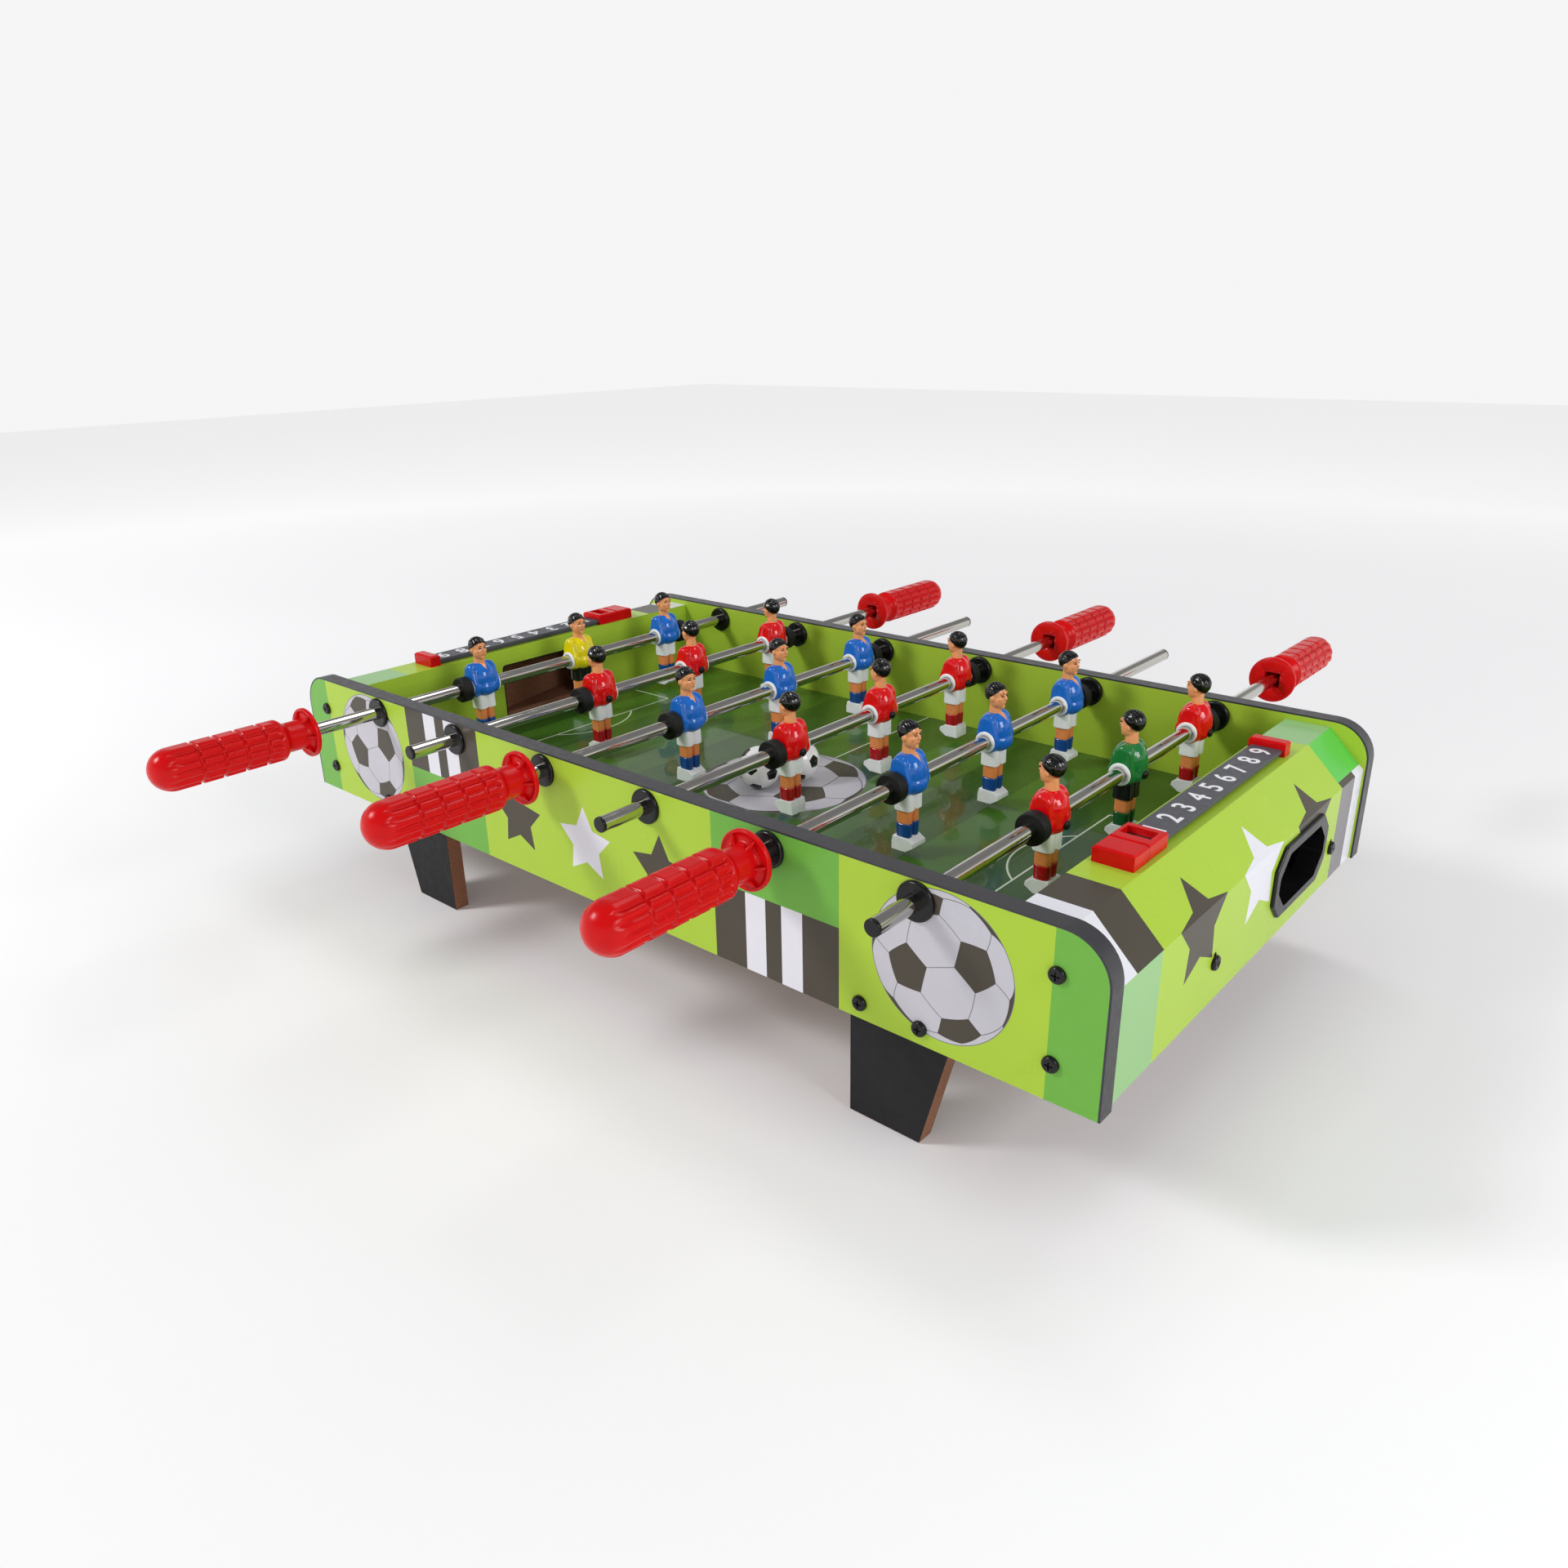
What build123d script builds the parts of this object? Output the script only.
"""Table-top foosball table: six rods of three players in a printed-board cabinet on four legs.

Frame: X runs from the left goal to the right goal, Y runs along the rods, Z is up.
The origin is on the ground under the middle of the cabinet. Lengths are in millimetres.
"""
from build123d import *
from math import cos, radians, sin, tan
import os

# ---------------------------------------------------------------- driving dimensions
table_length = 690.0          # side panels, end to end
table_width = 377.0           # over both side panels
leg_clearance = 72.0          # ground to the cabinet's underside
side_height = 93.0            # side panel with its edge band
side_t = 11.5                 # side panels and legs
side_corner_r = 25.0          # upper corners of the side panels
edge_band_t = 1.2
end_t = 9.0                   # boards of the end boxes
end_top_drop = 5.0            # end-box top below the side panels' top
end_top_run = 29.2            # flat part of the end box, along X
end_slope = 24.3              # run and drop of its 45 degree board
end_inset = 2.5               # outer wall back from the side panels' ends
fit = 0.05                    # gap all round pieces that are fitted by hand

field_top = 102.5
field_t = 3.0
groove_depth = 3.0
goal_width = 84.0
goal_height = 43.5
goal_corner_r = 3.0

leg_foot_w = 47.5
leg_flare = 24.5              # how much wider the leg is at its top
leg_top = 95.0
leg_setback = 25.5            # leg's top corner to the goal wall

rod_count = 6
rod_drop = 12.4               # rod axis below the side panels' top
rod_r = 4.75
rod_wall = 0.8
rod_rest_share = (0.05, 0.8, 0.8, 0.8, 0.8, 0.8)   # rest place, as a share of half the travel
running_gap = 0.06            # radial gap where a rod turns or slides
rod_end_reach = 23.5          # rod end outside its bushing when pushed right in
handle_gap = 3.5              # handle to bushing when pushed right in

bushing_flange_r = 11.0
bushing_flange_t = 2.5
bushing_sleeve_r = 6.9
nut_t = 3.5
cap_head_t = 2.0
cap_plug_len = 8.0

player_pitch = 100.0
player_half_w = 13.0
cuff_r = 7.0
bumper_r = 9.75
bumper_len = 8.0
bumper_gap = 0.3              # players to bumpers and bumpers to nuts at the stops

handle_len = 110.0
handle_flange_r = 17.5
handle_flange_t = 3.0
handle_neck_r = 10.5
handle_neck_end = 18.0
handle_grip_r = 14.6
handle_grip_start = 22.0
handle_segments = 4
handle_segment_len = 15.0
handle_first_groove = 35.0
handle_groove = 1.1
handle_flute_r = 1.4
handle_flutes_per_side = 5
handle_flute_step = 21.0      # degrees
handle_recess = 13.5
handle_recess_depth = 16.0
handle_grip_on_rod = 66.0

cup_from_side = 110.5         # ball-return cup's middle from the far side panel
cup_z = 108.0
cup_sleeve_w = 80.0
cup_sleeve_h = 38.0
cup_rim_lip = 4.0             # rim beyond the sleeve, all round
cup_rim_t = 2.3
cup_wall = 2.0
cup_corner = 12.0
ramp_t = 9.0
ramp_from_side = 77.0         # ramp's high end from the near side panel
ramp_slope = 0.115
ramp_lip = 0.6                # ramp's low end above the cup's floor
block_depth = 16.0
block_bottom = 76.0
spacer_h = 24.0

strip_w = 19.0
strip_stem_w = 13.0
strip_stem_h = 2.0
strip_h = 4.5
score_len = 218.0
score_w = 23.0
score_h = 9.0
score_near_cap = 16.5
score_far_cap = 9.0
score_cap_wall = 1.5
slider_len = 22.0
slider_gap = 0.3
window_w = 17.0
window_len = 10.5
window_shift = 1.0

screw_r = 1.75
screw_head_r = 4.4
screw_head_h = 2.4
leg_screw_z = 81.5
leg_screw_in = (15.5, 53.5)   # from the leg's upright edge
corner_screw_in = 26.6        # from the side panel's end
corner_screw_z = (92.8, 140.5)
wall_screw_from_side = (119.0, 49.0)   # into the ramp, from the near side; into the spacer, from the far

ball_r = 15.5
ball_places = ((-4.5, -31.5), (7.6, -2.6))
ball_lift = 0.05

# ---------------------------------------------------------------- worked-out places
half_len = table_length / 2
half_wid = table_width / 2
inner_y = half_wid - side_t
top_z = leg_clearance + side_height
rod_z = top_z - rod_drop
wall_x = half_len - end_inset
fold_x = wall_x - end_slope
goal_x = fold_x - end_top_run
deck_z = top_z - end_top_drop
fold_z = deck_z - end_slope
mitre = end_t * tan(radians(22.5))
goal_back_x = goal_x + end_t
wall_in_x = wall_x - end_t
deck_in_z = deck_z - end_t
rod_pitch = 2 * goal_x / rod_count
strip_x = goal_x + end_top_run / 2
bumper_in = player_pitch + player_half_w + bumper_gap
half_travel = inner_y - nut_t - bumper_gap - bumper_in - bumper_len
handle_at = half_travel + half_wid + bushing_flange_t + handle_gap
rod_end_at = half_travel + half_wid + bushing_flange_t + rod_end_reach
cup_y = inner_y - cup_from_side
cup_floor_z = cup_z - cup_sleeve_h / 2 + cup_wall
cup_left_y = cup_y - cup_sleeve_w / 2
ramp_high_y = ramp_from_side - inner_y
wall_screw_y = (wall_screw_from_side[0] - inner_y, inner_y - wall_screw_from_side[1])
leg_in_x = goal_x - leg_setback - leg_foot_w - leg_flare


def rod_x(n):
    return -goal_x + (n + 0.5) * rod_pitch


def write(node, *solids):
    shape = solids[0] if len(solids) == 1 else Compound(children=list(solids))
    shape.label = node
    export_step(shape, f"parts/{node}.step")


def box(x0, x1, y0, y1, z0, z1):
    middle = ((x0 + x1) / 2, (y0 + y1) / 2, (z0 + z1) / 2)
    return Pos(*middle) * Box(x1 - x0, y1 - y0, z1 - z0)


def turned(shape):
    """The same piece at the opposite end or side of the table."""
    return Rot(0, 0, 180) * shape


def along_y(r, y0, y1, x=0.0, z=0.0):
    return Pos(x, (y0 + y1) / 2, z) * Rot(90, 0, 0) * Cylinder(r, y1 - y0)


def along_x(r, x0, x1, y, z):
    return Pos((x0 + x1) / 2, y, z) * Rot(0, 90, 0) * Cylinder(r, x1 - x0)


def prism_y(points, y0, y1):
    """A prism along Y from an outline of (x, z) points."""
    face = make_face(Polyline(*points, close=True))
    return extrude(Plane.XZ.offset(-y1) * face, amount=y1 - y0)


def prism_x(face, x0, x1):
    """A prism along X from a face drawn as (y, z)."""
    return extrude(Plane.YZ.offset(x0) * face, amount=x1 - x0)


def pan_screw(length):
    """Pan-head cross screw: the head's seat is at the origin, the shank runs along -Z."""
    head = Pos(0, 0, screw_head_h / 2) * Cylinder(screw_head_r, screw_head_h)
    head = fillet(head.edges().group_by(Axis.Z)[-1], screw_head_h * 0.6)
    shank = Pos(0, 0, -length / 2) * Cylinder(screw_r, length)
    cross = Box(screw_head_r, 0.9, 2) + Box(0.9, screw_head_r, 2)
    return head + shank - Pos(0, 0, screw_head_h) * cross


# ---------------------------------------------------------------- fasteners
leg_screw_len = side_t + 8.0
corner_screw_len = side_t + 12.0
wall_screw_len = end_t + 16.0
near_leg_screws = [
    Pos(s * (leg_in_x + d), -half_wid, leg_screw_z) * Rot(90, 0, 0)
    for s in (-1, 1) for d in leg_screw_in
]
near_corner_screws = [
    Pos(s * (half_len - corner_screw_in), -half_wid, z) * Rot(90, 0, 0)
    for s in (-1, 1) for z in corner_screw_z
]
ramp_mid_z = cup_floor_z + ramp_lip + ramp_slope * (cup_left_y - wall_screw_y[0]) - ramp_t / 2
right_wall_screws = [Pos(wall_x, y, ramp_mid_z) * Rot(0, 90, 0) for y in wall_screw_y]


def drilled(shape, places, length):
    """Cut the holes for the screws at these places."""
    hole = Pos(0, 0, -length / 2 - fit) * Cylinder(screw_r + fit, length + 2 * fit)
    for place in places:
        shape -= place * hole
    return shape


def cabinet_screws():
    screws = [place * pan_screw(leg_screw_len) for place in near_leg_screws]
    screws += [place * pan_screw(corner_screw_len) for place in near_corner_screws]
    screws += [place * pan_screw(wall_screw_len) for place in right_wall_screws]
    return screws + [turned(s) for s in screws]


# ---------------------------------------------------------------- cabinet
def side_outline(inset):
    outline = Rectangle(table_length - 2 * inset, side_height - inset, align=(Align.CENTER, Align.MIN))
    return fillet(outline.vertices().group_by(Axis.Y)[-1], side_corner_r - inset)


near_plane = Plane((0, -inner_y, leg_clearance), x_dir=(1, 0, 0), z_dir=(0, -1, 0))


def near_side_panel():
    panel = extrude(near_plane * side_outline(edge_band_t), amount=side_t)
    for n in range(rod_count):
        panel -= along_y(bushing_sleeve_r + fit, -half_wid - 1, -inner_y + 1, rod_x(n), rod_z)
    groove_x = goal_x + groove_depth
    panel -= box(-groove_x, groove_x, -inner_y - groove_depth, -inner_y + 1,
                 field_top - field_t - fit, field_top + fit)
    panel = drilled(panel, near_leg_screws, leg_screw_len)
    return drilled(panel, near_corner_screws, corner_screw_len)


def near_edge_band():
    return extrude(near_plane * (side_outline(0) - side_outline(edge_band_t)), amount=side_t)


def near_legs():
    outline = ((leg_in_x, 0), (leg_in_x + leg_foot_w, 0),
               (leg_in_x + leg_foot_w + leg_flare, leg_top), (leg_in_x, leg_top))
    right = prism_y(outline, -inner_y, -inner_y + side_t)
    legs = (mirror(right, about=Plane.YZ), right)
    return [drilled(leg, near_leg_screws, leg_screw_len) for leg in legs]


def playing_field():
    x = goal_x + groove_depth - fit
    y = inner_y + groove_depth - fit
    return box(-x, x, -y, y, field_top - field_t, field_top)


def right_goal_wall():
    wall = box(goal_x, goal_back_x, -inner_y, inner_y, leg_clearance, deck_in_z)
    mouth = Pos(0, field_top) * Rectangle(goal_width, goal_height, align=(Align.CENTER, Align.MIN))
    mouth = fillet(mouth.vertices().group_by(Axis.Y)[-1], goal_corner_r)
    wall -= prism_x(mouth, goal_x - 1, goal_back_x + 1)
    return wall - box(goal_x - 1, goal_x + groove_depth, -inner_y, inner_y,
                      field_top - field_t - fit, field_top + fit)


def right_top_board():
    outline = ((goal_x, deck_z), (fold_x, deck_z), (fold_x - mitre, deck_in_z), (goal_x, deck_in_z))
    return prism_y(outline, -inner_y, inner_y)


def right_slope_board():
    outline = ((fold_x, deck_z), (wall_x, fold_z),
               (wall_in_x, fold_z - mitre), (fold_x - mitre, deck_in_z))
    return prism_y(outline, -inner_y, inner_y)


def right_outer_wall():
    outline = ((wall_x, fold_z), (wall_x, leg_clearance),
               (wall_in_x, leg_clearance), (wall_in_x, fold_z - mitre))
    wall = prism_y(outline, -inner_y, inner_y)
    wall -= prism_x(cup_outline(cup_sleeve_w + 2 * fit, cup_sleeve_h + 2 * fit), wall_in_x - 1, wall_x + 1)
    return drilled(wall, right_wall_screws, wall_screw_len)


def end_box_blocks():
    outline = ((goal_back_x, block_bottom), (wall_in_x, block_bottom),
               (wall_in_x, fold_z - mitre), (fold_x - mitre, deck_in_z), (goal_back_x, deck_in_z))
    right = prism_y(outline, -inner_y, -inner_y + block_depth)
    left = mirror(right, about=Plane.YZ)
    corners = [drilled(b, near_corner_screws, corner_screw_len) for b in (left, right)]
    spacer_y = wall_screw_y[1]
    spacer = box(goal_back_x, wall_in_x, spacer_y - block_depth / 2, spacer_y + block_depth / 2,
                 ramp_mid_z - spacer_h / 2, ramp_mid_z + spacer_h / 2)
    near = corners + [drilled(spacer, right_wall_screws, wall_screw_len)]
    return near + [turned(b) for b in near]


def right_ball_ramp():
    low_z = cup_floor_z + ramp_lip
    high_z = low_z + ramp_slope * (cup_left_y - ramp_high_y)
    face = make_face(Polyline((ramp_high_y, high_z), (cup_left_y, low_z), (cup_left_y, low_z - ramp_t),
                              (ramp_high_y, high_z - ramp_t), close=True))
    return drilled(prism_x(face, goal_back_x, wall_in_x), right_wall_screws, wall_screw_len)


def cup_outline(width, height):
    outline = Pos(cup_y, cup_z) * Rectangle(width, height)
    outline = chamfer(outline.vertices(), cup_corner)
    return fillet(outline.vertices(), cup_corner / 3)


def right_ball_cup():
    """Octagonal rim and sleeve in the wall, and behind them a tub that is open to the ramp."""
    tub_back = goal_back_x + 1.0
    rim = prism_x(cup_outline(cup_sleeve_w + 2 * cup_rim_lip, cup_sleeve_h + 2 * cup_rim_lip),
                  wall_x, wall_x + cup_rim_t)
    rim = fillet(rim.edges().group_by(Axis.X)[-1], cup_rim_t * 0.6)
    sleeve = prism_x(cup_outline(cup_sleeve_w, cup_sleeve_h), wall_in_x - cup_wall, wall_x)
    half_w = cup_sleeve_w / 2
    half_h = cup_sleeve_h / 2
    tub = box(tub_back, wall_in_x - fit, cup_y - half_w, cup_y + half_w, cup_z - half_h, cup_z + half_h)
    inner_w = half_w - cup_wall
    inner_h = half_h - cup_wall
    pocket = box(tub_back + cup_wall, wall_in_x - cup_wall, cup_y - inner_w, cup_y + inner_w,
                 cup_z - inner_h, cup_z + inner_h)
    mouth = prism_x(cup_outline(2 * inner_w, 2 * inner_h), wall_in_x - 2 * cup_wall, wall_x + cup_rim_t + 1)
    entry = box(tub_back - 1, wall_in_x - cup_wall, cup_y - half_w - 1, cup_y,
                cup_z - inner_h, cup_z + half_h + 1)
    return rim + sleeve + tub - pocket - mouth - entry


# ---------------------------------------------------------------- score counters
def tee(gap, y0, y1):
    """The strip's T section, grown by a gap on every side that a slider meets."""
    stem = box(strip_x - strip_stem_w / 2 - gap, strip_x + strip_stem_w / 2 + gap, y0, y1,
               deck_z, deck_z + strip_stem_h)
    head = box(strip_x - strip_w / 2 - gap, strip_x + strip_w / 2 + gap, y0, y1,
               deck_z + strip_stem_h - gap, deck_z + strip_h + gap)
    return stem + head


def score_block(y0, y1, z0):
    block = box(strip_x - score_w / 2, strip_x + score_w / 2, y0, y1, z0, deck_z + score_h)
    return chamfer(block.edges().group_by(Axis.Z)[-1], 1.2)


def right_score_strip():
    end = score_len / 2 - score_cap_wall - fit
    return tee(0, -end, end)


def right_score_caps():
    end = score_len / 2
    hollow = tee(fit, -end + score_cap_wall, end - score_cap_wall)
    near = score_block(-end, -end + score_near_cap, deck_z) - hollow
    far = score_block(end - score_far_cap, end, deck_z) - hollow
    return [near, far]


def right_score_slider():
    y0 = -score_len / 2 + score_near_cap + slider_gap
    y1 = y0 + slider_len
    slider = score_block(y0, y1, deck_z + slider_gap) - tee(slider_gap, y0 - 1, y1 + 1)
    middle = (y0 + y1) / 2 + window_shift
    return slider - box(strip_x - window_w / 2, strip_x + window_w / 2,
                        middle - window_len / 2, middle + window_len / 2,
                        deck_z + strip_h, deck_z + score_h + 1)


# ---------------------------------------------------------------- rods
def near_bushing(x):
    flange = along_y(bushing_flange_r, -half_wid - bushing_flange_t, -half_wid, x, rod_z)
    flange = fillet(flange.edges().group_by(Axis.Y)[0], bushing_flange_t * 0.6)
    sleeve = along_y(bushing_sleeve_r, -half_wid - 1, -inner_y + nut_t, x, rod_z)
    bore = along_y(rod_r + running_gap, -half_wid - bushing_flange_t - 1, -inner_y + nut_t + 1, x, rod_z)
    return flange + sleeve - bore


def near_nut(x):
    nut = along_y(bushing_flange_r, -inner_y, -inner_y + nut_t, x, rod_z)
    nut = fillet(nut.edges().group_by(Axis.Y)[-1], nut_t * 0.4)
    return nut - along_y(bushing_sleeve_r + fit, -inner_y - 1, -inner_y + nut_t + 1, x, rod_z)


def rod_tube():
    """Tube with its handle end towards -Y and the middle player at the origin."""
    y0 = -handle_at - handle_grip_on_rod
    y1 = rod_end_at - cap_head_t
    return along_y(rod_r, y0, y1) - along_y(rod_r - rod_wall, y0 - 1, y1 + 1)


def rod_end_cap():
    y1 = rod_end_at
    head = fillet(along_y(rod_r, y1 - cap_head_t, y1).edges().group_by(Axis.Y)[-1], cap_head_t * 0.4)
    return head + along_y(rod_r - rod_wall, y1 - cap_head_t - cap_plug_len, y1 - cap_head_t)


def rod_handle():
    """Grip with segments, flutes on its two sides and a square recess round the tube."""
    dome_at = handle_len - handle_grip_r
    side = [(0, 0), (handle_flange_r, 0), (handle_flange_r, handle_flange_t),
            (handle_neck_r, handle_flange_t + 1), (handle_neck_r, handle_neck_end),
            (handle_grip_r, handle_grip_start)]
    for n in range(handle_segments):
        s = handle_first_groove + n * handle_segment_len
        half = handle_groove / 2
        low = handle_grip_r - handle_groove
        side += [(handle_grip_r, s - half), (low, s - half), (low, s + half), (handle_grip_r, s + half)]
    side += [(handle_grip_r, dome_at)]
    tip = handle_grip_r * sin(radians(45))
    profile = Polyline(*side)
    profile += ThreePointArc((handle_grip_r, dome_at), (tip, dome_at + tip), (0, handle_len))
    profile += Line((0, handle_len), (0, 0))
    body = revolve(make_face(profile), axis=Axis.Y)
    for facing in (0, 180):
        for n in range(handle_flutes_per_side):
            turn = radians(facing + (n - (handle_flutes_per_side - 1) / 2) * handle_flute_step)
            r = handle_grip_r + handle_flute_r / 3
            body -= along_y(handle_flute_r, handle_grip_start - 2, dome_at, r * cos(turn), r * sin(turn))
    half = handle_recess / 2
    body -= box(-half, half, -1, handle_recess_depth, -half, half)
    body -= along_y(rod_r + fit, 0, handle_grip_on_rod + 2)
    return Pos(0, -handle_at, 0) * Rot(180, 0, 0) * body


def player():
    """One figure facing +X, standing on its rod's axis at the origin."""
    head = Pos(0.3, 0, 30.5) * Sphere(7.4)
    head = head & Pos(0, 0, 30.5) * Box(16, 13.2, 18)
    crown = Pos(-0.4, 0, 32.0) * Sphere(7.2)
    neck = Pos(0, 0, 21) * Cylinder(4.6, 8)
    jersey = make_face(
        Line((0, 19.4), (6.0, 19.4)) + ThreePointArc((6.0, 19.4), (11.9, 9.0), (12.2, 1.0))
        + ThreePointArc((12.2, 1.0), (11.6, -4.5), (9.6, -8.6)) + Polyline((9.6, -8.6), (0, -8.6), (0, 19.4))
    )
    torso = revolve(Plane.XZ * jersey, axis=Axis.Z)
    cuffs = along_y(cuff_r, -player_half_w, player_half_w)
    shorts = extrude(Pos(0, 0, -8.0) * RectangleRounded(15, 18.5, 4), amount=-10.4, taper=6)
    legs = extrude(Pos(0, 0, -17.5) * RectangleRounded(10.0, 14.0, 3), amount=-20, taper=2)
    shoe = prism_y(((-6.4, -36.4), (-7.0, -45.6), (3.6, -45.6), (9.2, -41.6), (8.6, -39.2), (4.2, -36.4)),
                   -7.2, 7.2)
    figure = torso + neck + head + crown + cuffs + shorts + legs + shoe
    return figure - along_y(rod_r, -player_half_w - 1, player_half_w + 1)


def bumper(y0):
    ring = along_y(bumper_r, y0, y0 + bumper_len)
    ring = fillet(ring.edges().filter_by(GeomType.CIRCLE), 1.0)
    return ring - along_y(rod_r + running_gap, y0 - 1, y0 + bumper_len + 1)


# ---------------------------------------------------------------- the model
def write_cabinet():
    near_panel = near_side_panel()
    write("near_side_panel", near_panel)
    write("far_side_panel", turned(near_panel))
    band = near_edge_band()
    write("near_edge_band", band)
    write("far_edge_band", turned(band))
    legs = near_legs()
    write("near_legs", *legs)
    write("far_legs", *[turned(leg) for leg in legs])
    write("playing_field", playing_field())
    pieces = {
        "goal_wall": right_goal_wall(), "top_board": right_top_board(),
        "slope_board": right_slope_board(), "outer_wall": right_outer_wall(),
        "ball_ramp": right_ball_ramp(), "ball_cup": right_ball_cup(),
        "score_strip": right_score_strip(), "score_slider": right_score_slider(),
    }
    for name, piece in pieces.items():
        write(f"right_{name}", piece)
        write(f"left_{name}", turned(piece))
    caps = right_score_caps()
    write("score_end_caps", *caps, *[turned(c) for c in caps])
    write("end_box_blocks", *end_box_blocks())
    write("cabinet_screws", *cabinet_screws())
    bushings = [near_bushing(rod_x(n)) for n in range(rod_count)]
    nuts = [near_nut(rod_x(n)) for n in range(rod_count)]
    write("rod_bushings", *bushings, *[turned(b) for b in bushings])
    write("bushing_nuts", *nuts, *[turned(n) for n in nuts])


def write_rods():
    tube = rod_tube()
    handle = rod_handle()
    cap = rod_end_cap()
    figure = player()
    rings = [bumper(bumper_in), bumper(-bumper_in - bumper_len)]
    for n in range(rod_count):
        near_handle = n % 2 == 0
        place = Pos(rod_x(n), rod_rest_share[n] * half_travel, rod_z)
        facing = place if near_handle else place * Rot(0, 0, 180)
        name = f"rod_{n + 1}"
        write(f"{name}_tube", facing * tube)
        write(f"{name}_handle", facing * handle)
        write(f"{name}_end_cap", facing * cap)
        figures = [facing * Pos(0, i * player_pitch, 0) * figure for i in (-1, 0, 1)]
        write(f"{name}_players", *figures)
        write(f"{name}_bumpers", *[facing * ring for ring in rings])


def write_balls():
    for n, (x, y) in enumerate(ball_places):
        write(f"ball_{n + 1}", Pos(x, y, field_top + ball_r + ball_lift) * Sphere(ball_r))


os.makedirs("parts", exist_ok=True)
write_cabinet()
write_rods()
write_balls()
